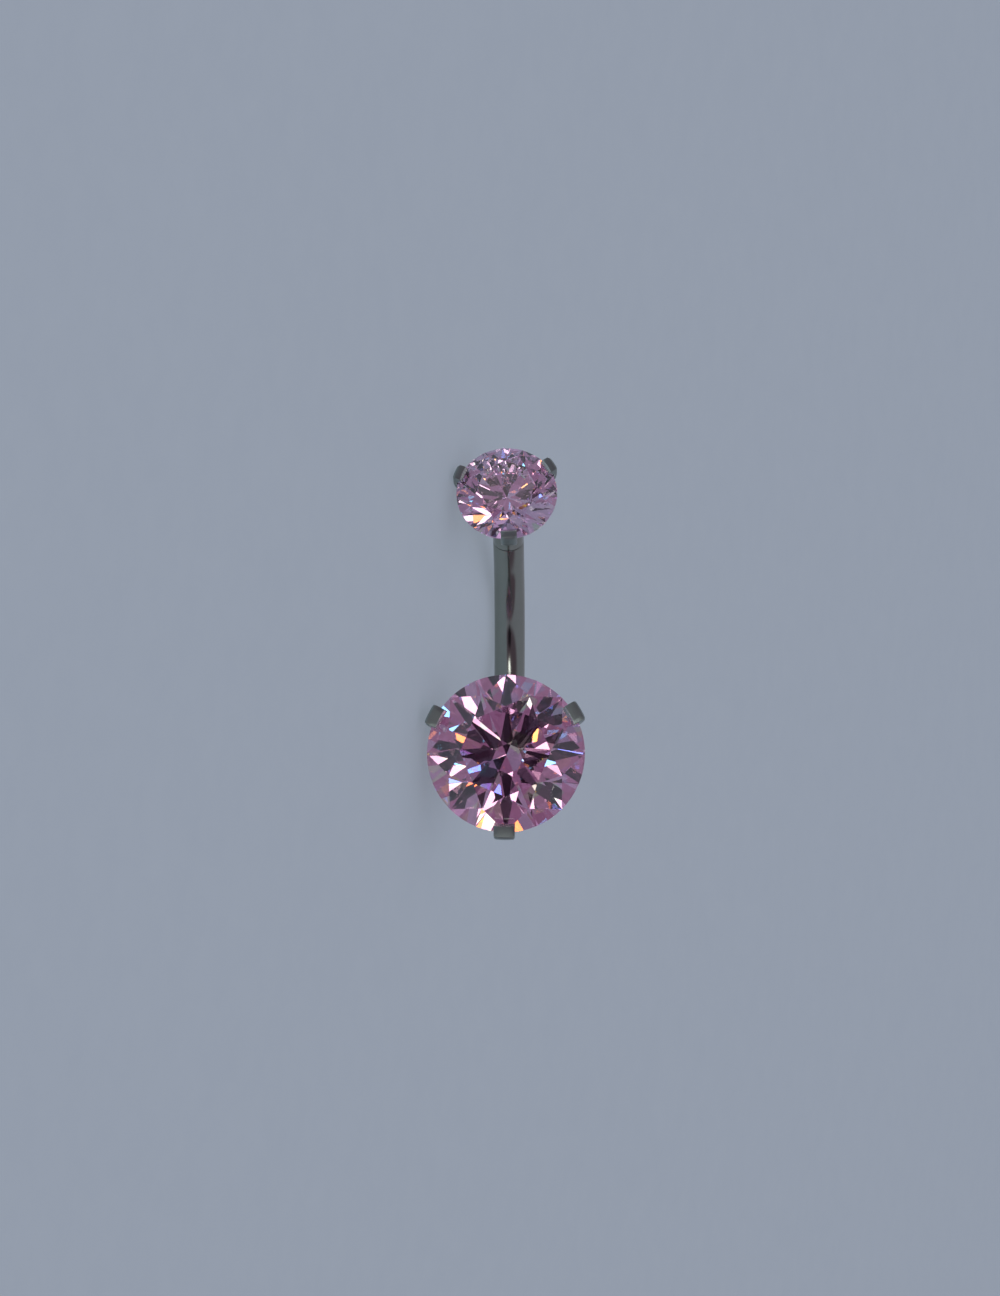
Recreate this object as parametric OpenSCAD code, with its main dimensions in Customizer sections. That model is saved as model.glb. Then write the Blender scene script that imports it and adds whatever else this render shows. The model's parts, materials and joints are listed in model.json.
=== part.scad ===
// A navel ring: a curved bar with a claw on each end, a small one above and a large one
// below. Each claw holds a round brilliant-cut stone by three prongs.
// The ring is drawn as it is worn, with X to its left, Y to the back and Z up: the bar stands
// upright, bows to the back and has its middle at the origin, and both stones face forward.
// It is then turned about the origin to lie on its side, as it rests by itself on a flat
// surface, touching it with one prong of each claw and the back of the bar.

/* [Bar] */
// Diameter of the bar
bar_d = 1.6; // [1.4:0.1:2]
// Straight distance between the middles of the bar's two end faces
bar_length = 10; // [8:0.5:14]
// Lean of each end of the bar out of the upright, in degrees
bar_lean = 45; // [36:1:55]
// Length of the straight part at each end of the bar
bar_straight = 1.5; // [1.3:0.1:2.2]

/* [Posts] */
// Diameter of the post that holds each claw in the bar's end
post_d = 1; // [0.8:0.05:1.1]
// Length of each post
post_length = 1.3; // [0.8:0.1:1.4]
// Gap round each post, at its tip and between a claw's neck and the bar
fit_gap = 0.03; // [0.02:0.01:0.05]

/* [Stones] */
// Diameter of the lower stone
lower_stone_d = 8; // [6:0.5:10]
// Diameter of the upper stone
upper_stone_d = 5.15; // [4:0.05:6]
// Width of the table, as a share of the stone's diameter
table_share = 0.57; // [0.53:0.01:0.62]
// Greatest thickness of the girdle, as a share of the stone's diameter
girdle_share = 0.03; // [0.025:0.005:0.05]
// Angle of the crown's kite facets, in degrees
crown_angle = 34.5; // [32:0.5:36]
// Angle of the pavilion's main facets, in degrees
pavilion_angle = 40.8; // [39.6:0.2:42]
// Share of the way from the table's edge to the girdle that a star facet covers
star_share = 0.52; // [0.45:0.01:0.6]
// Share of the way from the girdle to the point below that a lower half facet covers
lower_half_share = 0.77; // [0.7:0.01:0.85]
// Turn of the lower stone's facets about its axis, in degrees
lower_stone_turn = 0; // [0:1:44]
// Turn of the upper stone's facets about its axis, in degrees
upper_stone_turn = 5; // [0:1:44]
// Gap between a stone and its claw
stone_gap = 0.04; // [0.02:0.01:0.06]

/* [Lower claw] */
// Angle by which the lower stone looks up, in degrees
lower_tilt = 6; // [0:1:15]
// Angles of the prongs round the lower stone, counted from its left, in degrees
lower_prong_angles = [30, 153, 269]; // [0:1:359]
// Width of each prong
lower_prong_w = 1.05; // [0.7:0.05:1.4]
// How far each prong's tip reaches in over the stone's edge
lower_overlap = 0.38; // [0.25:0.01:0.6]
// How far each prong stands out beyond the stone's edge
lower_reach = 0.38; // [0.25:0.01:0.6]
// Thickness of each prong's tip above the stone
lower_tip_t = 0.3; // [0.2:0.05:0.5]
// Thickness of each arm behind the stone
lower_arm_t = 0.6; // [0.4:0.05:0.9]
// Diameter of the ball where the arms meet the neck
lower_hub_d = 2.4; // [2:0.1:3]
// Distance from the bar's end to the middle of the ball
lower_neck = 1.9; // [1.6:0.1:2.6]

/* [Upper claw] */
// Angle by which the upper stone looks up, in degrees
upper_tilt = 24.5; // [15:0.5:45]
// Angles of the prongs round the upper stone, counted from its left, in degrees
upper_prong_angles = [32, 159, 273]; // [0:1:359]
// Width of each prong
upper_prong_w = 0.82; // [0.6:0.02:1.1]
// How far each prong's tip reaches in over the stone's edge
upper_overlap = 0.28; // [0.2:0.01:0.4]
// How far each prong stands out beyond the stone's edge
upper_reach = 0.26; // [0.18:0.01:0.4]
// Thickness of each prong's tip above the stone
upper_tip_t = 0.22; // [0.15:0.01:0.35]
// Thickness of each arm behind the stone
upper_arm_t = 0.45; // [0.3:0.05:0.7]
// Diameter of the ball where the arms meet the neck
upper_hub_d = 2; // [1.8:0.1:2.4]
// Distance from the bar's end to the middle of the ball
upper_neck = 1.6; // [1.4:0.1:2.2]

/* [Prongs] */
// Width of the bevel on the inner edge of each prong's tip
inner_bevel = 0.14; // [0.05:0.01:0.2]
// Width of the bevel on the outer edge of each prong's tip
outer_bevel = 0.08; // [0.03:0.01:0.15]
// Radius of the shoulder where a prong turns into its arm
shoulder_r = 1.1; // [0.4:0.1:1.2]
// Distance from the stone's lowest point back to the middle of the ball
hub_setback = 0.55; // [0.4:0.05:0.9]

/* [Hidden] */
$fn = 72;
metal = [0.45, 0.47, 0.46];
pink = [0.86, 0.62, 0.74];
shoulder_steps = 6;
facet_count = 8;
girdle_steps = 4;
half_facet = 180 / facet_count;
turn_steps = 40;
settle_steps = 6;

// The bar's bend. Its ends lie at bar_length / 2 above and below the origin.
bend_r = (bar_length / 2 - bar_straight * cos(bar_lean)) / sin(bar_lean);
bar_end_y = -bend_r * (1 - cos(bar_lean)) - bar_straight * sin(bar_lean);

// Heights in a stone's own frame, whose origin is the middle of the girdle and whose Z axis
// points out of the table.
function girdle_half(d) = d * girdle_share / 2;
function point_z(d) = -girdle_half(d) - d / 2 * tan(pavilion_angle);
function table_r(d) = d / 2 * table_share;
function star_r(d) = let(edge = table_r(d) * cos(half_facet)) edge + star_share * (d / 2 - edge);
function lower_half_r(d) = d / 2 * (1 - lower_half_share);
function crown_z(d, x) = girdle_half(d) + (d / 2 - x) * tan(crown_angle);
function pavilion_z(d, x) = -girdle_half(d) - (d / 2 - x) * tan(pavilion_angle);
function star_z(d) = crown_z(d, star_r(d) * cos(half_facet));
function lower_half_z(d) = pavilion_z(d, lower_half_r(d) * cos(half_facet));

// Places and frames in the worn ring: the middle of each claw's ball, and a point of a
// stone's own frame.
function hub_place(side, neck) =
    [0, bar_end_y - neck * sin(bar_lean), side * (bar_length / 2 + neck * cos(bar_lean))];
function hub_depth(d) = hub_setback - point_z(d);
function stone_place(side, neck, tilt, d) =
    hub_place(side, neck) + hub_depth(d) * [0, -cos(tilt), sin(tilt)];
function turned(p, turn) = [p.x * cos(turn) - p.y * sin(turn), p.x * sin(turn) + p.y * cos(turn), p.z];
function faced(p, tilt) = [p.x, p.y * sin(tilt) - p.z * cos(tilt), p.y * cos(tilt) + p.z * sin(tilt)];

lower_place = stone_place(-1, lower_neck, lower_tilt, lower_stone_d);
upper_place = stone_place(1, upper_neck, upper_tilt, upper_stone_d);

// Sections of a claw in its stone's frame, as [distance from the axis, height] points. The
// seat lies stone_gap clear of the stone, and the arms run below it, parallel to the stone.
seat_lift = stone_gap / cos(pavilion_angle);
function seat_section(d) = [
    [0, point_z(d) - seat_lift],
    [lower_half_r(d), lower_half_z(d) - seat_lift],
    [d / 2 + stone_gap, -girdle_half(d) - seat_lift + stone_gap * tan(pavilion_angle)],
    [d / 2 + stone_gap, girdle_half(d) + seat_lift - stone_gap * tan(crown_angle)],
    [star_r(d), star_z(d) + seat_lift],
    [table_r(d), crown_z(d, table_r(d)) + seat_lift],
    [0, crown_z(d, table_r(d)) + seat_lift],
];
function tip_z(d, overlap, tip_t) =
    let(edge = girdle_half(d) + seat_lift - stone_gap * tan(crown_angle),
        rise = (star_z(d) + seat_lift - edge) / (d / 2 + stone_gap - star_r(d)))
    edge + rise * (overlap + stone_gap) + tip_t;
function arm_z(d, x, arm_t) = pavilion_z(d, x) - (stone_gap + arm_t) / cos(pavilion_angle);
function outer_section(d, overlap, reach, tip_t, arm_t) =
    let(wall = d / 2 + reach,
        top = tip_z(d, overlap, tip_t),
        bend = 90 - pavilion_angle,
        shoulder = arm_z(d, wall, arm_t) + shoulder_r * tan(bend / 2))
    [
        [wall - outer_bevel, top],
        [wall, top - outer_bevel],
        for (step = [0 : shoulder_steps])
            let(turn = bend * step / shoulder_steps)
            [wall - shoulder_r * (1 - cos(turn)), shoulder - shoulder_r * sin(turn)],
        [0, arm_z(d, 0, arm_t)],
    ];
function claw_section(d, overlap, reach, tip_t, arm_t) =
    let(inner = d / 2 - overlap, top = tip_z(d, overlap, tip_t))
    concat(
        [[0, 0], [inner, 0], [inner, top - inner_bevel], [inner + inner_bevel, top]],
        outer_section(d, overlap, reach, tip_t, arm_t)
    );

// The outer corners of a claw's prongs in the worn ring, where it can touch a surface.
function claw_corners(place, tilt, angles, prong_w, section) = [
    for (angle = angles, side = [-1, 1], point = section)
        if (point[0] > 0)
            let(along = sqrt(point[0] * point[0] - prong_w * prong_w / 4),
                corner = turned([along, side * prong_w / 2, point[1]], angle))
            place + faced(corner, tilt)
];
lower_corners = claw_corners(
    lower_place, lower_tilt, lower_prong_angles, lower_prong_w,
    outer_section(lower_stone_d, lower_overlap, lower_reach, lower_tip_t, lower_arm_t)
);
upper_corners = claw_corners(
    upper_place, upper_tilt, upper_prong_angles, upper_prong_w,
    outer_section(upper_stone_d, upper_overlap, upper_reach, upper_tip_t, upper_arm_t)
);

// The way down under the resting ring, in the worn ring's frame. It is square to the line
// through the two corners that touch, and turned about that line until the bar's back
// reaches just as far down. The touching corners are found again after each turn.
function lowest(points, way) =
    let(depths = [for (point = points) point * way], deepest = max(depths))
    [for (i = [0 : len(points) - 1]) if (depths[i] == deepest) points[i]][0];
function unit(v) = v / norm(v);
function bar_depth(way) = bend_r * (norm([way.y, way.z]) - way.y) + bar_d / 2;
function turned_down(back, side, corner, low, high, steps) =
    let(middle = (low + high) / 2,
        way = sin(middle) * back + cos(middle) * side)
    steps == 0 ? way
    : bar_depth(way) > way * corner ? turned_down(back, side, corner, low, middle, steps - 1)
    : turned_down(back, side, corner, middle, high, steps - 1);
function way_down(low_corner, high_corner) =
    let(back = unit(cross(high_corner - low_corner, [1, 0, 0])),
        side = unit(cross(high_corner - low_corner, back)))
    turned_down(back, side, low_corner, 0, 90, turn_steps);
function settled(way, steps) =
    steps == 0 ? way
    : settled(way_down(lowest(lower_corners, way), lowest(upper_corners, way)), steps - 1);
down = settled([-1, 0, 0], settle_steps);

// The axes of the resting ring: Z is up, and the lower stone faces towards -Y.
lower_face = [0, -cos(lower_tilt), sin(lower_tilt)];
rest_y = -unit(lower_face - (lower_face * down) * down);
rest_x = cross(rest_y, -down);

module at_rest() {
    multmatrix([
        [rest_x.x, rest_x.y, rest_x.z, 0],
        [rest_y.x, rest_y.y, rest_y.z, 0],
        [-down.x, -down.y, -down.z, 0],
        [0, 0, 0, 1],
    ]) children();
}

// The frame at one end of the bar, 1 for the upper end and -1 for the lower one, with Z
// along the bar and out of it, and X away from the middle of the bend.
module at_bar_end(side) {
    translate([0, bar_end_y, side * bar_length / 2])
        rotate([side > 0 ? bar_lean : 180 - bar_lean, 0, 0])
            rotate([0, 0, side * 90]) children();
}

module in_stone_frame(place, tilt) {
    translate(place) rotate([90 - tilt, 0, 0]) children();
}

module bar_bend() {
    translate([0, -bend_r, 0])
        rotate([0, -90, 0])
            rotate([0, 0, 90 - bar_lean])
                rotate_extrude(angle = 2 * bar_lean)
                    translate([bend_r, 0]) circle(d = bar_d);
}

module curved_bar() {
    color(metal) at_rest() difference() {
        union() {
            bar_bend();
            for (side = [-1, 1])
                at_bar_end(side) translate([0, 0, -bar_straight]) cylinder(d = bar_d, h = bar_straight);
        }
        for (side = [-1, 1])
            at_bar_end(side)
                translate([0, 0, -post_length - fit_gap])
                    cylinder(d = post_d + 2 * fit_gap, h = post_length + 2 * fit_gap);
    }
}

module claw(side, place, tilt, d, angles, prong_w, section, hub_d, neck) {
    difference() {
        union() {
            in_stone_frame(place, tilt) intersection() {
                rotate_extrude() polygon(section);
                translate([0, 0, -d]) linear_extrude(2 * d)
                    for (angle = angles)
                        rotate(angle) translate([0, -prong_w / 2]) square([d, prong_w]);
            }
            at_bar_end(side) {
                translate([0, 0, neck]) sphere(d = hub_d);
                translate([0, 0, fit_gap]) cylinder(d = bar_d, h = neck - fit_gap);
                translate([0, 0, -post_length]) cylinder(d = post_d, h = post_length + neck);
            }
        }
        in_stone_frame(place, tilt) rotate_extrude() polygon(seat_section(d));
    }
}

module lower_claw() {
    color(metal) at_rest() claw(
        -1, lower_place, lower_tilt, lower_stone_d, lower_prong_angles, lower_prong_w,
        claw_section(lower_stone_d, lower_overlap, lower_reach, lower_tip_t, lower_arm_t),
        lower_hub_d, lower_neck
    );
}

module upper_claw() {
    color(metal) at_rest() claw(
        1, upper_place, upper_tilt, upper_stone_d, upper_prong_angles, upper_prong_w,
        claw_section(upper_stone_d, upper_overlap, upper_reach, upper_tip_t, upper_arm_t),
        upper_hub_d, upper_neck
    );
}

// A round brilliant: a table, then 8 star, 8 kite and 16 upper half facets, a round girdle,
// and 16 lower half and 8 main facets that meet in a point. Each half facet's edge on the
// girdle is the curve in which its plane cuts the girdle's cylinder.
function spot(radius, angle, height) = [radius * cos(angle), radius * sin(angle), height];
function girdle_dip(angle) =
    let(middle = half_facet / 2)
    cos((angle % half_facet) - middle) - cos(middle);
function half_slope(d, tip_r, tip_h) =
    (tip_h - girdle_half(d)) / ((d / 2 - tip_r) * cos(half_facet / 2));

module brilliant(d) {
    n = facet_count;
    ring = 2 * n * girdle_steps;
    top_slope = half_slope(d, star_r(d), star_z(d));
    low_slope = half_slope(d, lower_half_r(d), -lower_half_z(d));
    table = [for (i = [0 : n - 1]) spot(table_r(d), 2 * i * half_facet, crown_z(d, table_r(d)))];
    stars = [for (i = [0 : n - 1]) spot(star_r(d), (2 * i + 1) * half_facet, star_z(d))];
    lows = [for (i = [0 : n - 1]) spot(lower_half_r(d), (2 * i + 1) * half_facet, lower_half_z(d))];
    top_edge = [for (i = [0 : ring - 1]) let(angle = 360 * i / ring)
        spot(d / 2, angle, girdle_half(d) - top_slope * d / 2 * girdle_dip(angle))];
    low_edge = [for (i = [0 : ring - 1]) let(angle = 360 * i / ring)
        spot(d / 2, angle, -girdle_half(d) + low_slope * d / 2 * girdle_dip(angle))];
    star0 = n;
    low0 = 2 * n;
    top0 = 3 * n;
    edge0 = top0 + ring;
    tip = edge0 + ring;
    function half_arc(start, half) =
        [for (j = [0 : girdle_steps]) start + (half * girdle_steps + j + ring) % ring];
    function back(list) = [for (i = [len(list) - 1 : -1 : 0]) list[i]];
    polyhedron(
        points = concat(table, stars, lows, top_edge, low_edge, [[0, 0, point_z(d)]]),
        faces = concat(
            [back([for (i = [0 : n - 1]) i])],
            [for (i = [0 : n - 1]) [star0 + i, i, (i + 1) % n]],
            [for (i = [0 : n - 1])
                [i, star0 + i, top0 + 2 * i * girdle_steps, star0 + (i + n - 1) % n]],
            [for (i = [0 : n - 1], half = [2 * i, 2 * i + 1])
                concat([star0 + i], back(half_arc(top0, half)))],
            [for (i = [0 : ring - 1])
                [top0 + i, top0 + (i + 1) % ring, edge0 + (i + 1) % ring, edge0 + i]],
            [for (i = [0 : n - 1], half = [2 * i, 2 * i + 1])
                concat([low0 + i], half_arc(edge0, half))],
            [for (i = [0 : n - 1])
                [tip, low0 + (i + n - 1) % n, edge0 + 2 * i * girdle_steps, low0 + i]]
        )
    );
}

module lower_stone() {
    color(pink) at_rest() in_stone_frame(lower_place, lower_tilt)
        rotate([0, 0, lower_stone_turn]) brilliant(lower_stone_d);
}

module upper_stone() {
    color(pink) at_rest() in_stone_frame(upper_place, upper_tilt)
        rotate([0, 0, upper_stone_turn]) brilliant(upper_stone_d);
}

curved_bar();
lower_claw();
lower_stone();
upper_claw();
upper_stone();
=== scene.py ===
"""A navel ring lying on its right side, as it is worn: a curved polished bar, and on each of its
ends a three-pronged claw that holds a pink round brilliant-cut stone. Lengths are in metres,
after MM is applied."""

import json
import math

import bmesh
import bpy
from mathutils import Matrix, Vector


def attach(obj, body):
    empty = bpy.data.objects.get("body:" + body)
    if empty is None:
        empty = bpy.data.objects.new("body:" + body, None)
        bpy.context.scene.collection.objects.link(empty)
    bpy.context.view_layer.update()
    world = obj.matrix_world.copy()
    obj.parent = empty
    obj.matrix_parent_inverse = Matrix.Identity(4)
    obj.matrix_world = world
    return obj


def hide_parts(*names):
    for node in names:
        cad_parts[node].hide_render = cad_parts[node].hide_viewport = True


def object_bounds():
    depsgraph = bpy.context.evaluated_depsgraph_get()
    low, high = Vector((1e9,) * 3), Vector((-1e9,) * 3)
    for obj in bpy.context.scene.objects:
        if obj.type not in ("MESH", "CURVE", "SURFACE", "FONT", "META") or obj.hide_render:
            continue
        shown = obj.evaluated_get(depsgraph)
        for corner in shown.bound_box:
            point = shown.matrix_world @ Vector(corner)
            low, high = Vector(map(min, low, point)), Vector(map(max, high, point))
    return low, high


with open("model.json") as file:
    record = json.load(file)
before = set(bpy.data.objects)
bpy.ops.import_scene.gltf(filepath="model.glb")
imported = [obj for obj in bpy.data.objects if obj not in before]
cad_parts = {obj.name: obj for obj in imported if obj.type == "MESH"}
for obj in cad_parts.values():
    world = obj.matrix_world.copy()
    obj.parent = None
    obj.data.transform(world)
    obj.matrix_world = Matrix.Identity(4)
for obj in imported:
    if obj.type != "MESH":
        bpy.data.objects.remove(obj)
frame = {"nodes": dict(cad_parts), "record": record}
cad_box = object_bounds()
MM = 0.001

# Points that are nearer than this count as touching.
touching = 0.001 * MM


# The curved bar is a rod bent to one arc with straight ends, turned smooth and polished all
# over. Each end has a blind bore that takes a claw's post. The ring's own directions come
# first, because every piece is placed by them: to its left, to its back, and up along the bar.
bar_d = 1.6 * MM
bar_length = 10 * MM
bar_lean = math.radians(45)
bar_straight = 1.5 * MM
bar_edge = 0.035 * MM
bar_edge_steps = 4
bar_arc_steps = 72
bar_round_steps = 72
bar_sharp = math.radians(40)
post_d = 1 * MM
post_length = 1.3 * MM
fit_gap = 0.03 * MM
polished_grey = (0.35, 0.375, 0.33, 1)
polished_dull_grey = (0.30, 0.322, 0.283, 1)
polished_roughness = 0.12
haze_roughness = 0.06
hairline_roughness = 0.05
hairline_turn = (0, 0, 0.13)
hairline_stretch = (0.35, 22, 22)
bump_depth = 0.02 * MM
bend_r = (bar_length / 2 - bar_straight * math.cos(bar_lean)) / math.sin(bar_lean)


def table_facing(node):
    """The direction in which a stone's widest flat face, its table, looks."""
    areas = {}
    for face in frame["nodes"][node].data.polygons:
        facing = tuple(round(part, 3) for part in face.normal)
        areas[facing] = areas.get(facing, 0) + face.area
    return Vector(max(areas, key=areas.get)).normalized()


ring_up = Vector(frame["record"]["mounts"][0]["axis"]).normalized()
ring_left = ring_up.cross(table_facing("lower_stone")).normalized()
ring_back = ring_up.cross(ring_left)
ring = Matrix((ring_left, ring_back, ring_up)).transposed()


class Link:
    """One output of a node, so that the sums of a finish or a shape read as plain Python."""

    def __init__(self, tree, socket):
        self.tree = tree
        self.socket = socket

    def node(self, kind, settings=None, out=0, **values):
        """Adds a node of this kind, sets it up, joins or fills its inputs, and gives an output."""
        return add_node(self.tree, kind, settings, out, **values)

    def sum(self, operation, first, second):
        return self.node("ShaderNodeMath", {"operation": operation}, _0=first, _1=second)

    def __add__(self, other):
        return self.sum("ADD", self, other)

    def __radd__(self, other):
        return self.sum("ADD", other, self)

    def __sub__(self, other):
        return self.sum("SUBTRACT", self, other)

    def __rsub__(self, other):
        return self.sum("SUBTRACT", other, self)

    def __mul__(self, other):
        return self.sum("MULTIPLY", self, other)

    def __rmul__(self, other):
        return self.sum("MULTIPLY", other, self)

    def __truediv__(self, other):
        return self.sum("DIVIDE", self, other)

    def __gt__(self, other):
        return self.sum("GREATER_THAN", self, other)


def add_node(tree, kind, settings=None, out=0, **values):
    """A new node. A value named _2 goes to the input of that number, and any other by its name."""
    made = tree.nodes.new(kind)
    for name, setting in (settings or {}).items():
        if name == "stops":
            ramp = made.color_ramp
            while len(ramp.elements) < len(setting):
                ramp.elements.new(1)
            for element, (place, colour) in zip(ramp.elements, setting):
                element.position = place
                element.color = colour
        else:
            setattr(made, name, setting)
    for name, value in values.items():
        key = int(name[1:]) if name[0] == "_" else name.replace("_", " ")
        socket = made.inputs[key]
        if isinstance(value, Link):
            tree.links.new(value.socket, socket)
        else:
            socket.default_value = value
    return Link(tree, made.outputs[out])


def blend(factor, first, second):
    """The first colour where the factor is 0, and the second where it is 1."""
    return factor.node("ShaderNodeMix", {"data_type": "RGBA"}, out=2,
                       Factor=factor, _6=first, _7=second)


def new_finish(name, **constants):
    """A material with these fixed inputs, its shader, and Object coordinates in millimetres."""
    material = bpy.data.materials.new(name)
    material.use_nodes = True
    tree = material.node_tree
    shader = tree.nodes["Principled BSDF"]
    for socket, value in constants.items():
        shader.inputs[socket.replace("_", " ")].default_value = value
    coordinates = add_node(tree, "ShaderNodeTexCoord", out="Object")
    per_mm = (1 / MM, 1 / MM, 1 / MM)
    place = coordinates.node("ShaderNodeMapping", Vector=coordinates, Scale=per_mm)
    return material, shader, place


def feed(shader, **links):
    """Joins these outputs to the shader's inputs of the same name."""
    for socket, link in links.items():
        link.tree.links.new(link.socket, shader.inputs[socket.replace("_", " ")])


def new_shape(name, *sizes):
    """A Geometry Nodes tree with these named sizes, and its links by name."""
    tree = bpy.data.node_groups.new(name, "GeometryNodeTree")
    tree.interface.new_socket("Geometry", in_out="OUTPUT", socket_type="NodeSocketGeometry")
    tree.interface.new_socket("Geometry", in_out="INPUT", socket_type="NodeSocketGeometry")
    for size in sizes:
        tree.interface.new_socket(size, in_out="INPUT", socket_type="NodeSocketFloat")
    entry = tree.nodes.new("NodeGroupInput")
    return tree, {socket.name: Link(tree, socket) for socket in entry.outputs if socket.name}


def end_shape(tree, geometry, material):
    """Ends a tree in real geometry of one material."""
    real = geometry.node("GeometryNodeRealizeInstances", Geometry=geometry)
    coated = real.node("GeometryNodeSetMaterial", Geometry=real, Material=material)
    tree.links.new(coated.socket, tree.nodes.new("NodeGroupOutput").inputs[0])


def shaped(piece, tree=None, **sizes):
    """Runs a tree with these sizes on a piece after its own modifiers, and keeps the result."""
    if tree:
        step = piece.modifiers.new(tree.name, "NODES")
        step.node_group = tree
        for socket in tree.interface.items_tree:
            if socket.in_out == "INPUT" and socket.name.replace(" ", "_") in sizes:
                step[socket.identifier] = sizes[socket.name.replace(" ", "_")]
    view = bpy.context.evaluated_depsgraph_get()
    result = bpy.data.meshes.new_from_object(piece.evaluated_get(view), depsgraph=view)
    piece.modifiers.clear()
    piece.data = result
    return piece


def new_piece(name, mesh):
    """A new object in the scene with this mesh."""
    piece = bpy.data.objects.new(name, mesh)
    bpy.context.scene.collection.objects.link(piece)
    return piece


def bar_place(along):
    """The point of the bar's middle line at this distance up from its middle, and its direction."""
    bent = min(abs(along) / bend_r, bar_lean)
    side = math.copysign(1, along)
    heading = Vector((0, -math.sin(bent) * side, math.cos(bent)))
    point = Vector((0, bend_r * (math.cos(bent) - 1), bend_r * math.sin(bent) * side))
    return ring @ (point + heading * (along - bent * bend_r * side)), ring @ heading


# The bar is a run of places along it, each with its share of the full thickness there.
bar_half = bend_r * bar_lean + bar_straight
rounding = [math.pi / 2 * step / bar_edge_steps for step in range(bar_edge_steps + 1)]
end_run = [
    (bar_half - bar_edge * (1 - math.sin(turn)), 1 - bar_edge * (1 - math.cos(turn)) * 2 / bar_d)
    for turn in rounding
]
bend_run = [
    (bend_r * bar_lean * (2 * step / bar_arc_steps - 1), 1)
    for step in range(bar_arc_steps + 1)
]
bar_run = [(-along, thick) for along, thick in end_run[::-1]] + bend_run + end_run
bar_line = bpy.data.meshes.new("bar_line")
bar_line.from_pydata([bar_place(along)[0] for along, thick in bar_run],
                     [(i, i + 1) for i in range(len(bar_run) - 1)], [])
thickness = bar_line.attributes.new("thickness", "FLOAT", "POINT")
thickness.data.foreach_set("value", [thick for along, thick in bar_run])

bar_metal, shader, place = new_finish("bar_polished_metal", Metallic=1.0)
haze = place.node("ShaderNodeTexNoise", Vector=place, Scale=1.3, Detail=3.0, Roughness=0.55)
fine = place.node("ShaderNodeTexNoise", Vector=place, Scale=28.0, Detail=2.0)
hairline = place.node("ShaderNodeMapping", Vector=place,
                      Rotation=hairline_turn, Scale=hairline_stretch)
hairline = place.node("ShaderNodeTexNoise", Vector=hairline, Scale=3.0, Detail=2.0)
feed(shader, Base_Color=blend(haze, polished_grey, polished_dull_grey),
     Roughness=polished_roughness + haze * haze_roughness + hairline * hairline_roughness,
     Normal=fine.node("ShaderNodeBump", Strength=0.05, Distance=bump_depth,
                      Height=fine + hairline))

tree, size = new_shape("swept_bar", "Thickness", "Bore", "Bore depth")
line = size["Geometry"].node("GeometryNodeMeshToCurve", Mesh=size["Geometry"])
rim = line.node("GeometryNodeCurvePrimitiveCircle", Resolution=bar_round_steps,
                Radius=size["Thickness"] / 2)
thick = line.node("GeometryNodeInputNamedAttribute", {"data_type": "FLOAT"}, Name="thickness")
rod = line.node("GeometryNodeCurveToMesh", Curve=line, Profile_Curve=rim, Scale=thick,
                Fill_Caps=True)
bores = line.node("GeometryNodeJoinGeometry")
for end in (-1, 1):
    middle, heading = bar_place(end * bar_half)
    hole = line.node("GeometryNodeMeshCylinder", Vertices=bar_round_steps, Radius=size["Bore"] / 2,
                     Depth=size["Bore depth"] * 2)
    hole = hole.node("GeometryNodeTransform", Geometry=hole, Translation=middle,
                     Rotation=heading.to_track_quat("Z", "Y").to_euler())
    tree.links.new(hole.socket, bores.socket.node.inputs[0])
bored = rod.node("GeometryNodeMeshBoolean", {"solver": "EXACT"}, _0=rod, _1=bores)
end_shape(tree, bored, bar_metal)
curved_bar = shaped(new_piece("curved_bar_polished", bar_line), tree, Thickness=bar_d,
                    Bore=post_d + 2 * fit_gap, Bore_depth=post_length + fit_gap)
curved_bar.data.set_sharp_from_angle(angle=bar_sharp)
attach(curved_bar, "root")
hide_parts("curved_bar")


# Each claw is cast in one with its ball, neck and post: three bent prongs of flat bar run out
# behind the stone and fold square over its edge, their tips satin, their inner bevels smoother and
# painted lighter as a painted highlight.
# The prongs stand at uneven angles, as they were pressed by hand.
table_share = 0.57
girdle_share = 0.03
star_share = 0.52
lower_half_share = 0.77
crown_angle = math.radians(34.5)
pavilion_angle = math.radians(40.8)
half_facet = math.radians(22.5)
stone_gap = 0.04 * MM
inner_bevel = 0.14 * MM
outer_bevel = 0.08 * MM
shoulder_r = 1.1 * MM
hub_setback = 0.55 * MM
edge_round = 0.05 * MM
tip_round = 0.02 * MM
corner_steps = 4
shoulder_steps = 8
prong_columns = 5
root_share = 0.6
ball_steps = 24
lathe_steps = 64
crease_angle = math.radians(25)
slant_angle = math.radians(7)
prong_sharp = math.radians(50)
lathed_sharp = math.radians(35)
satin_grey = (0.36, 0.415, 0.385, 1)
satin_dark_grey = (0.30, 0.345, 0.32, 1)
# The inner bevels' lighter grey is a painted highlight, not a colour of the metal.
painted_highlight_grey = (0.62, 0.66, 0.60, 1)
satin_roughness = 0.36
grain_roughness = 0.1
bevel_smoothness = 0.14
lower_claw = dict(
    side=-1, stone="lower_stone", stone_d=8 * MM, angles=(30, 153, 269),
    prong_w=1.05 * MM, overlap=0.38 * MM, reach=0.38 * MM, tip_t=0.3 * MM, arm_t=0.6 * MM,
    corner=0.11 * MM, hub_d=2.4 * MM, neck=1.9 * MM,
)
upper_claw = dict(
    side=1, stone="upper_stone", stone_d=5.15 * MM, angles=(32, 159, 273),
    prong_w=0.82 * MM, overlap=0.28 * MM, reach=0.26 * MM, tip_t=0.22 * MM, arm_t=0.45 * MM,
    corner=0.15 * MM, hub_d=2 * MM, neck=1.6 * MM,
)
seat_lift = stone_gap / math.cos(pavilion_angle)


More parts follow.
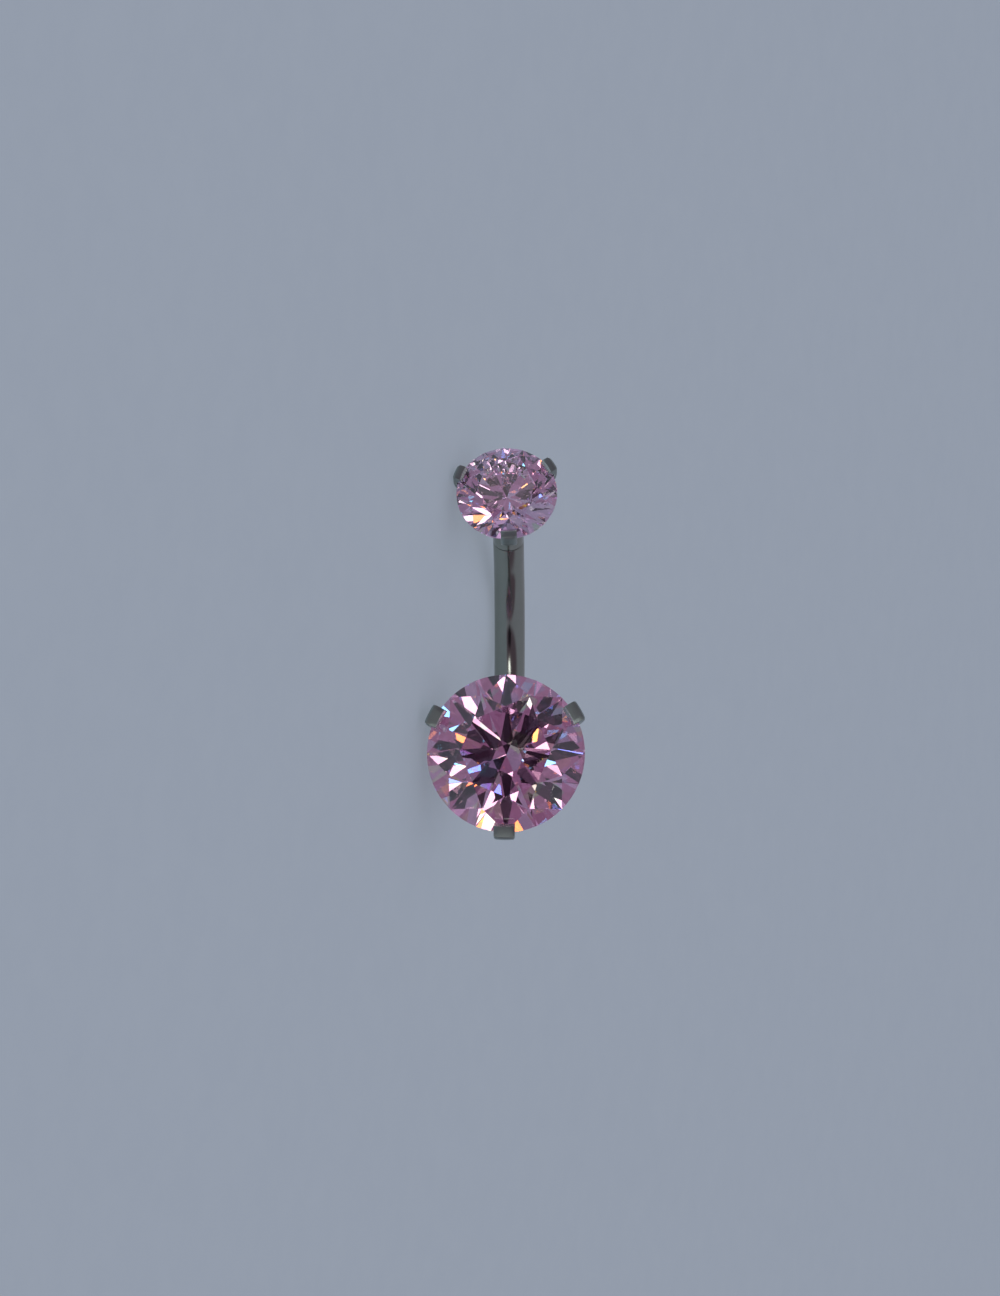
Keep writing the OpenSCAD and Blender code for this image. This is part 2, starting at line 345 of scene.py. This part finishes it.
class Cut:
    """The heights of a round brilliant, from the middle of its girdle."""

    def __init__(self, across):
        self.r = across / 2
        self.girdle = across * girdle_share / 2
        self.table_r = self.r * table_share
        table_edge = self.table_r * math.cos(half_facet)
        self.star_r = table_edge + star_share * (self.r - table_edge)
        self.low_r = self.r * (1 - lower_half_share)
        self.table_z = self.crown(self.table_r)
        self.star_z = self.crown(self.star_r * math.cos(half_facet))
        self.low_z = self.pavilion(self.low_r * math.cos(half_facet))
        self.point_z = self.pavilion(0)
        self.point_slope = (self.low_z - self.point_z) / self.low_r

    def crown(self, out):
        """The height of the crown's facets at this distance from the axis."""
        return self.girdle + (self.r - out) * math.tan(crown_angle)

    def pavilion(self, out):
        """The height of the pavilion's facets at this distance from the axis."""
        return -self.girdle - (self.r - out) * math.tan(pavilion_angle)


def stone_frame(node, cut):
    """A stone's own frame: its middle, the ring's left, and Z out of its table."""
    facing = table_facing(node)
    lowest = min((spot.co for spot in frame["nodes"][node].data.vertices), key=facing.dot)
    turn = Matrix((ring_left, facing.cross(ring_left), facing)).transposed().to_4x4()
    return Matrix.Translation(lowest - facing * cut.point_z) @ turn


def bar_end_frame(side):
    """The frame at one end of the bar, with Z along the bar and out of it."""
    middle, heading = bar_place(side * bar_half)
    turn = (heading * side).to_track_quat("Z", "Y")
    return Matrix.Translation(middle) @ turn.to_matrix().to_4x4()


def prong_side(claw, cut):
    """A prong seen from its side, as (distance from the stone's axis, height) points."""
    gap_r = cut.r + stone_gap
    edge = cut.girdle + seat_lift - stone_gap * math.tan(crown_angle)
    rise = (cut.star_z + seat_lift - edge) / (gap_r - cut.star_r)
    inner = cut.r - claw["overlap"]
    seat = edge + rise * (gap_r - inner)
    top = seat + claw["tip_t"]
    wall = cut.r + claw["reach"]
    drop = (stone_gap + claw["arm_t"]) / math.cos(pavilion_angle)
    bend = math.pi / 2 - pavilion_angle
    shoulder = cut.pavilion(wall) - drop + shoulder_r * math.tan(bend / 2)
    root = claw["prong_w"] * root_share
    turns = [bend * step / shoulder_steps for step in range(shoulder_steps + 1)]
    return [
        (inner, seat),
        (inner, top - inner_bevel),
        (inner + inner_bevel, top),
        (wall - outer_bevel, top),
        (wall, top - outer_bevel),
        *[(wall - shoulder_r * (1 - math.cos(turn)), shoulder - shoulder_r * math.sin(turn))
          for turn in turns],
        (root, cut.pavilion(root) - drop),
        (root, cut.point_z + cut.point_slope * root - seat_lift),
        (cut.low_r, cut.low_z - seat_lift),
        (gap_r, -cut.girdle - seat_lift + stone_gap * math.tan(pavilion_angle)),
        (gap_r, edge),
    ]


def prong_mesh(claw, cut):
    """One prong along X, round in plan as the stone is, with the weights of its rounded edges.
    Its two outer corners have the full radius at the tip, which fades out round the shoulder."""
    side = prong_side(claw, cut)
    half = claw["prong_w"] / 2
    across = [half * (2 * column / (prong_columns - 1) - 1) for column in range(prong_columns)]
    bm = bmesh.new()
    weight = bm.edges.layers.float.new("bevel_weight_edge")
    columns = [
        [bm.verts.new((math.sqrt(out * out - y * y), y, high)) for out, high in side]
        for y in across
    ]
    # The side's first three points are the tip's inner end, and the next two its outer bevel.
    count = len(side)
    plain = edge_round / claw["corner"]
    fade = [1 - (1 - plain) * step / shoulder_steps for step in range(shoulder_steps + 1)]
    rounds = [plain] * 3 + [1] * 2 + fade
    rounds += [plain] * (count - len(rounds))
    amount = {spot: share for column in columns for spot, share in zip(column, rounds)}
    for left, right in zip(columns, columns[1:]):
        for i in range(count):
            bm.faces.new((left[i], right[i], right[(i + 1) % count], left[(i + 1) % count]))
    bm.faces.new(columns[0])
    bm.faces.new(columns[-1][::-1])
    bmesh.ops.recalc_face_normals(bm, faces=bm.faces)
    for edge in bm.edges:
        if edge.calc_face_angle(0) < crease_angle:
            continue
        if abs(edge.verts[0].co.z - edge.verts[1].co.z) < touching:
            edge[weight] = tip_round / claw["corner"]
        else:
            edge[weight] = min(amount[spot] for spot in edge.verts)
    mesh = bpy.data.meshes.new("prong")
    bm.to_mesh(mesh)
    return mesh


def mark_bevels(mesh):
    """Marks the slanted faces at the inner end of a prong's tip, which are smoother than its satin
    flats and outer edges, and painted lighter as a painted highlight."""
    mark = mesh.attributes.new("bright", "FLOAT", "FACE")
    for face in mesh.polygons:
        middle = Vector((face.center.x, face.center.y, 0)).normalized()
        flat = max(abs(face.normal.z), abs(face.normal.y), abs(face.normal.dot(middle)))
        slanted = flat < math.cos(slant_angle) and face.normal.dot(middle) < 0
        mark.data[face.index].value = 1 if slanted and face.center.z > 0 else 0


def lathed(name, run, place):
    """A round solid turned about Z from (radius, height) points that start and end on Z."""
    bm = bmesh.new()
    poles = [bm.verts.new((0, 0, run[0][1])), bm.verts.new((0, 0, run[-1][1]))]
    turns = [2 * math.pi * step / lathe_steps for step in range(lathe_steps)]
    rings = [
        [bm.verts.new((out * math.cos(turn), out * math.sin(turn), high)) for turn in turns]
        for out, high in run[1:-1]
    ]
    for i in range(lathe_steps):
        j = (i + 1) % lathe_steps
        bm.faces.new((poles[0], rings[0][j], rings[0][i]))
        bm.faces.new((poles[1], rings[-1][i], rings[-1][j]))
        for low, high in zip(rings, rings[1:]):
            bm.faces.new((low[i], low[j], high[j], high[i]))
    bmesh.ops.recalc_face_normals(bm, faces=bm.faces)
    mesh = bpy.data.meshes.new(name)
    bm.to_mesh(mesh)
    mesh.transform(place)
    mesh.set_sharp_from_angle(angle=lathed_sharp)
    return mesh


def join(piece, *others):
    """Joins these pieces into the first."""
    with bpy.context.temp_override(active_object=piece, selected_editable_objects=[piece, *others]):
        bpy.ops.object.join()


claw_metal, shader, place = new_finish("claw_satin_metal", Metallic=1.0)
bright = place.node("ShaderNodeAttribute", {"attribute_name": "bright"}, out="Fac")
grain = place.node("ShaderNodeTexNoise", Vector=place, Scale=22.0, Detail=3.0, Roughness=0.65)
wear = place.node("ShaderNodeTexNoise", Vector=place, Scale=1.8, Detail=3.0)
# The marked inner bevels are smoother, which is real polish, and a lighter grey, which is a painted
# highlight.
feed(shader, Base_Color=blend(bright, blend(wear, satin_grey, satin_dark_grey), painted_highlight_grey),
     Roughness=satin_roughness + grain * grain_roughness - bright * bevel_smoothness,
     Normal=grain.node("ShaderNodeBump", Strength=0.06, Distance=bump_depth, Height=grain))


def ball_run(claw, cut):
    """The side of a claw's ball: up from its pole to where it meets the hollow cone that the
    stone's point stands in, and down into that cone."""
    hub_r = claw["hub_d"] / 2
    middle = cut.point_z - hub_setback
    seat = cut.point_z - seat_lift

    def spot(turn):
        return hub_r * math.sin(turn), middle - hub_r * math.cos(turn)

    open_turn = next(
        turn for turn in map(math.radians, range(180, 0, -1))
        if spot(turn)[1] < seat + cut.point_slope * spot(turn)[0]
    )
    turns = [open_turn * step / ball_steps for step in range(ball_steps + 1)]
    return [spot(turn) for turn in turns] + [(0, seat)]


def neck_run(claw):
    """The side of a claw's neck, from the end of its post inside the bar up into the ball."""
    return [
        (0, -post_length),
        (post_d / 2 - bar_edge, -post_length),
        (post_d / 2, bar_edge - post_length),
        (post_d / 2, fit_gap),
        (bar_d / 2 - bar_edge, fit_gap),
        *[(bar_d / 2 - bar_edge * (1 - math.sin(turn)), fit_gap + bar_edge * (1 - math.cos(turn)))
          for turn in rounding[1:]],
        (bar_d / 2, claw["neck"]),
        (0, claw["neck"]),
    ]


def make_claw(name, node, claw):
    """One claw: a prong, turned three times round its stone's axis, and its ball and neck."""
    cut = Cut(claw["stone_d"])
    seat = stone_frame(claw["stone"], cut)
    prong = new_piece(name, prong_mesh(claw, cut))
    bevel = prong.modifiers.new("rounded_edges", "BEVEL")
    bevel.limit_method = "WEIGHT"
    bevel.use_clamp_overlap = False
    bevel.width = claw["corner"]
    bevel.segments = corner_steps
    shaped(prong)
    mark_bevels(prong.data)
    prong.data.set_sharp_from_angle(angle=prong_sharp)
    tree, size = new_shape("three_prongs", "First turn", "Second turn", "Third turn")
    prongs = size["Geometry"].node("GeometryNodeJoinGeometry")
    for turn in ("First turn", "Second turn", "Third turn"):
        around = size[turn].node("ShaderNodeCombineXYZ", Z=size[turn])
        copy = around.node("GeometryNodeTransform", Geometry=size["Geometry"], Rotation=around)
        tree.links.new(copy.socket, prongs.socket.node.inputs[0])
    end_shape(tree, prongs, claw_metal)
    first, second, third = [math.radians(angle) for angle in claw["angles"]]
    shaped(prong, tree, First_turn=first, Second_turn=second, Third_turn=third)
    prong.data.transform(seat)
    ball = new_piece("ball", lathed("ball", ball_run(claw, cut), seat))
    neck = new_piece("neck", lathed("neck", neck_run(claw), bar_end_frame(claw["side"])))
    ball.data.materials.append(claw_metal)
    neck.data.materials.append(bar_metal)
    join(prong, ball, neck)
    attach(prong, "root")
    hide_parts(node)


make_claw("lower_claw_satin", "lower_claw", lower_claw)
make_claw("upper_claw_satin", "upper_claw", upper_claw)


# Each stone is a clear pink round brilliant, cut with flat polished facets: a table, a crown
# of 32 facets, a thin ground girdle and a pavilion of 24 facets that meet in a point.
wedge_count = 8
girdle_steps = 4
stone_ior = 2.16
lower_mauve = (0.74, 0.40, 0.67, 1)
lower_rose = (0.87, 0.46, 0.61, 1)
upper_mauve = (0.72, 0.47, 0.76, 1)
upper_rose = (0.82, 0.54, 0.68, 1)
tint_scale = 0.35
# The fire is painted: a few pastel patches in the stones' tint stand in for flashes of dispersed
# light.
painted_fire_share = 0.14
painted_fire_tint = 0.42
painted_fire_value = 0.95
painted_fire_scale = 1.15


def wedge_mesh(cut):
    """An eighth of a stone, from one kite facet's middle line to the next."""
    full = 2 * half_facet
    slope = (cut.star_z - cut.girdle) / ((cut.r - cut.star_r) * math.cos(half_facet / 2))
    low_slope = (-cut.low_z - cut.girdle) / ((cut.r - cut.low_r) * math.cos(half_facet / 2))
    spots = [(0, 0, cut.table_z), (0, 0, cut.point_z)]

    def spot(out, turn, high):
        spots.append((out * math.cos(turn), out * math.sin(turn), high))
        return len(spots) - 1

    first = spot(cut.table_r, 0, cut.table_z)
    second = spot(cut.table_r, full, cut.table_z)
    star = spot(cut.star_r, half_facet, cut.star_z)
    low = spot(cut.low_r, half_facet, cut.low_z)
    turns = [full * step / (2 * girdle_steps) for step in range(2 * girdle_steps + 1)]
    dips = [
        cut.r * (math.cos(turn % half_facet - half_facet / 2) - math.cos(half_facet / 2))
        for turn in turns[:-1]
    ]
    dips.append(dips[0])
    top = [spot(cut.r, turn, cut.girdle - slope * dip) for turn, dip in zip(turns, dips)]
    edge = [spot(cut.r, turn, -cut.girdle + low_slope * dip) for turn, dip in zip(turns, dips)]
    middle = girdle_steps
    faces = [
        (0, first, second), (first, star, second), (first, top[0], star), (star, top[-1], second),
        (star, *top[:middle + 1]), (star, *top[middle:]),
        (low, *edge[middle::-1]), (low, *edge[:middle - 1:-1]),
        (1, low, edge[0]), (1, edge[-1], low),
        *[(edge[i], edge[i + 1], top[i + 1], top[i]) for i in range(2 * girdle_steps)],
    ]
    mesh = bpy.data.meshes.new("wedge")
    mesh.from_pydata(spots, [], faces)
    return mesh


def clear_finish(name, mauve, rose):
    """A clear stone drifting between these two tints, with a few pastel patches of painted fire
    light.
    """
    stone, shader, place = new_finish(name, Roughness=0.0, IOR=stone_ior, Transmission_Weight=1.0)
    cell = place.node("ShaderNodeTexVoronoi", out="Color", Vector=place, Scale=painted_fire_scale)
    chance = cell.node("ShaderNodeSeparateColor", Color=cell)
    hue = Link(cell.tree, chance.socket.node.outputs["Green"])
    drift = place.node("ShaderNodeTexNoise", Vector=place, Scale=tint_scale, Detail=1.0)
    fire = hue.node("ShaderNodeCombineColor", {"mode": "HSV"},
                    Red=hue, Green=painted_fire_tint, Blue=painted_fire_value)
    # The pastel patches are painted fire, flashes of dispersed light painted into the tint.
    feed(shader, Base_Color=blend(chance > 1 - painted_fire_share, blend(drift, mauve, rose), fire))
    return stone


def make_stone(name, node, across, turn, finish):
    """One stone of this width, turned by this many degrees about its own axis."""
    cut = Cut(across)
    stone = new_piece(name, wedge_mesh(cut))
    tree, size = new_shape("eight_wedges", "Wedges")
    spots = size["Wedges"].node("GeometryNodePoints", Count=size["Wedges"])
    index = spots.node("GeometryNodeInputIndex")
    around = index.node("ShaderNodeCombineXYZ", Z=index * (2 * math.pi / wedge_count))
    copies = spots.node("GeometryNodeInstanceOnPoints", Points=spots,
                        Instance=size["Geometry"], Rotation=around)
    whole = copies.node("GeometryNodeRealizeInstances", Geometry=copies)
    whole = whole.node("GeometryNodeMergeByDistance", Geometry=whole, Distance=touching)
    end_shape(tree, whole, finish)
    shaped(stone, tree, Wedges=float(wedge_count))
    seat = stone_frame(node, cut)
    stone.data.transform(seat @ Matrix.Rotation(math.radians(turn), 4, "Z"))
    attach(stone, "root")
    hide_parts(node)


make_stone("lower_stone_cut", "lower_stone", lower_claw["stone_d"], turn=0,
           finish=clear_finish("lower_pink_stone", lower_mauve, lower_rose))
make_stone("upper_stone_cut", "upper_stone", upper_claw["stone_d"], turn=5,
           finish=clear_finish("upper_pink_stone", upper_mauve, upper_rose))


# The plain ground under the ring is matt grey-blue card, a little mottled.
card_blue = (0.185, 0.213, 0.252, 1)
card_pale_blue = (0.197, 0.225, 0.263, 1)
card_width = 1.6
card, shader, place = new_finish("card", Roughness=0.9, Specular_IOR_Level=0.1)
mottle = place.node("ShaderNodeTexNoise", Vector=place, Scale=0.6, Detail=4.0, Roughness=0.6)
feed(shader, Base_Color=blend(mottle, card_blue, card_pale_blue))
ground = bmesh.new()
bmesh.ops.create_grid(ground, x_segments=1, y_segments=1, size=card_width / 2)
bmesh.ops.translate(ground, verts=ground.verts, vec=(0, 0, cad_box[0].z))
ground_mesh = bpy.data.meshes.new("ground")
ground.to_mesh(ground_mesh)
ground_mesh.materials.append(card)
floor = new_piece("floor", ground_mesh)


# The camera looks at the ring from its front, as the ring is worn, from 200 mm away. The ring
# lies on its side, so the camera is rolled to keep the ring's up at the top of the picture.
camera_distance = 200 * MM
camera_yaw = math.radians(-1.5)
camera_target = ring @ (Vector((-0.30, -8.136, -0.573)) * MM)
picture_height_px = 1296
focal_px = 3950
ahead = ring @ Vector((math.sin(camera_yaw), math.cos(camera_yaw), 0))
camera_data = bpy.data.cameras.new("camera")
camera_data.sensor_fit = "VERTICAL"
camera_data.angle = 2 * math.atan(picture_height_px / 2 / focal_px)
camera_data.clip_start = 1 * MM
camera = bpy.data.objects.new("camera", camera_data)
camera.matrix_world = Matrix((ahead.cross(ring_up), ring_up, -ahead)).transposed().to_4x4()
camera.location = camera_target - ahead * camera_distance
bpy.context.scene.collection.objects.link(camera)
bpy.context.scene.camera = camera


# Soft studio light. A wide lamp above lights the ground and isn't mirrored in the ring, and
# small lamps near it are mirrored in some pieces alone. The metal mirrors a dim grey room with
# two dark shapes before it, one above the other. Light that comes through the stones meets a
# mauve room with one tall dark shape, and dark and bright panels, some of them coloured, which
# the facets break up into flashes. Where the camera stands all of these have a dark core.
backdrop_blue = (0.30, 0.345, 0.42, 1)
room_grey = (0.31, 0.315, 0.385, 1)
shape_purple = (0.135, 0.095, 0.13, 1)
room_mauve = (0.53, 0.48, 0.63, 1)
shape_mauve = (0.265, 0.18, 0.265, 1)
room_dark = (0.016, 0.010, 0.018, 1)
upper_half_size = (0.82, 0.62)
upper_rise = 0.38
lower_half_size = (0.64, 0.36)
lower_rise = -0.70
tall_half_size = (0.72, 0.95)
core_half_size = (0.22, 0.26)
soft_edge = (1.15, 0.75)
panel_white = (3.0, 2.85, 2.75, 1)
panel_scale = 8.5
panel_turn = (2.07, 4.55, 5.47)
panel_glow = 5.0
panel_fire = [
    (0.05, (0.90, 0.32, 0.09, 1)),
    (0.25, (1.00, 0.85, 0.10, 1)),
    (0.40, (0.75, 0.24, 0.20, 1)),
    (0.55, (0.20, 0.90, 1.00, 1)),
    (0.75, (0.16, 0.12, 0.75, 1)),
    (0.92, (0.60, 0.45, 0.95, 1)),
]
dark_share = 0.17
bright_share = 0.175
coloured_share = 0.32
near_lamps = 0.4


def add_lamp(name, heading, distance, size, power, pieces=()):
    """A lamp of this size at this heading and distance from the ring, facing it. One that is for
    some pieces lights and is mirrored in these alone, and any other casts no shadow and no
    reflection."""
    data = bpy.data.lights.new(name, "AREA")
    data.shape = "RECTANGLE"
    data.size, data.size_y = size
    data.energy = power
    data.use_shadow = bool(pieces)
    lamp = bpy.data.objects.new(name, data)
    away = Vector(heading).normalized()
    lamp.location = away * distance
    lamp.rotation_euler = away.to_track_quat("Z", "Y").to_euler()
    lamp.visible_camera = False
    lamp.visible_glossy = bool(pieces)
    lamp.visible_transmission = False
    bpy.context.scene.collection.objects.link(lamp)
    if pieces:
        lamp.light_linking.receiver_collection = bpy.data.collections.new(name)
        for piece in pieces:
            lamp.light_linking.receiver_collection.objects.link(bpy.data.objects[piece])


bar = ["curved_bar_polished"]
claws = ["lower_claw_satin", "upper_claw_satin"]
stones = ["lower_stone_cut", "upper_stone_cut"]
add_lamp("wide_lamp", (0, -0.15, 1), 2, (3, 3), 89)
for name, away, lamp_size, power, pieces in [
    ("streak_lamp", (0, -1, 0.8), (0.13, 0.08), 0.12, bar),
    ("glint_lamp", (-0.12, -1, 0.85), (0.02, 0.02), 0.15, stones),
    ("table_lamp", (0, -0.63, 0.78), (0.07, 0.07), 0.0055, ["upper_stone_cut"]),
    ("front_lamp", (-0.12, -1, -0.2), (0.10, 0.10), 0.10, claws),
    ("side_lamp", (-1, 0.12, 0.1), (0.14, 0.14), 0.17, claws),
    ("top_lamp", (0.1, 0.12, 1), (0.14, 0.14), 0.15, claws),
]:
    add_lamp(name, ring @ Vector(away), near_lamps, lamp_size, power, pieces)

world = bpy.data.worlds.new("room")
bpy.context.scene.world = world
world.use_nodes = True
heading = add_node(world.node_tree, "ShaderNodeTexCoord", out="Generated")


def toward(direction):
    """How nearly the heading seen is this direction, from -1 to 1."""
    return heading.node("ShaderNodeVectorMath", {"operation": "DOT_PRODUCT"}, out="Value",
                        _0=heading, _1=direction)


def oval(half_size, rise=0):
    """1 inside a soft-edged oval of this half width and half height, else 0. Its middle is this
    much above the camera, as seen from the ring."""
    across = toward(ring_left) / half_size[0]
    high = (toward(ring_up) - rise) / half_size[1]
    inside = across.node("ShaderNodeMapRange", {"interpolation_type": "SMOOTHSTEP"},
                         Value=across * across + high * high,
                         From_Min=soft_edge[0], From_Max=soft_edge[1])
    return inside * (toward(-ring_back) > 0)


turned = heading.node("ShaderNodeMapping", Vector=heading, Rotation=panel_turn)
panel = turned.node("ShaderNodeTexVoronoi", out="Color", Vector=turned, Scale=panel_scale,
                    Randomness=1.0)
chance = panel.node("ShaderNodeSeparateColor", Color=panel)
kind = Link(panel.tree, chance.socket.node.outputs["Green"])
hue = Link(panel.tree, chance.socket.node.outputs["Blue"])
fire = hue.node("ShaderNodeValToRGB", {"stops": panel_fire}, Fac=hue)
fire = fire.node("ShaderNodeVectorMath", {"operation": "SCALE"}, _0=fire, Scale=panel_glow)
panel_colour = blend(kind > 1 - coloured_share, panel_white, fire)
panelled = blend(oval(tall_half_size), room_mauve, shape_mauve)
panelled = blend(1 - (chance > dark_share), panelled, room_dark)
panelled = blend(chance > 1 - bright_share, panelled, panel_colour)
pair = oval(upper_half_size, upper_rise) + oval(lower_half_size, lower_rise)
mirrored = blend(pair, room_grey, shape_purple)
room = blend(heading.node("ShaderNodeLightPath", out="Is Transmission Ray"), mirrored, panelled)
room = blend(oval(core_half_size), room, room_dark)
room = blend(heading.node("ShaderNodeLightPath", out="Is Camera Ray"), room, backdrop_blue)
room.tree.links.new(room.socket, world.node_tree.nodes["Background"].inputs["Color"])

scene = bpy.context.scene
scene.view_settings.view_transform = "Standard"
scene.cycles.max_bounces = 24
scene.cycles.glossy_bounces = 16
scene.cycles.transmission_bounces = 16
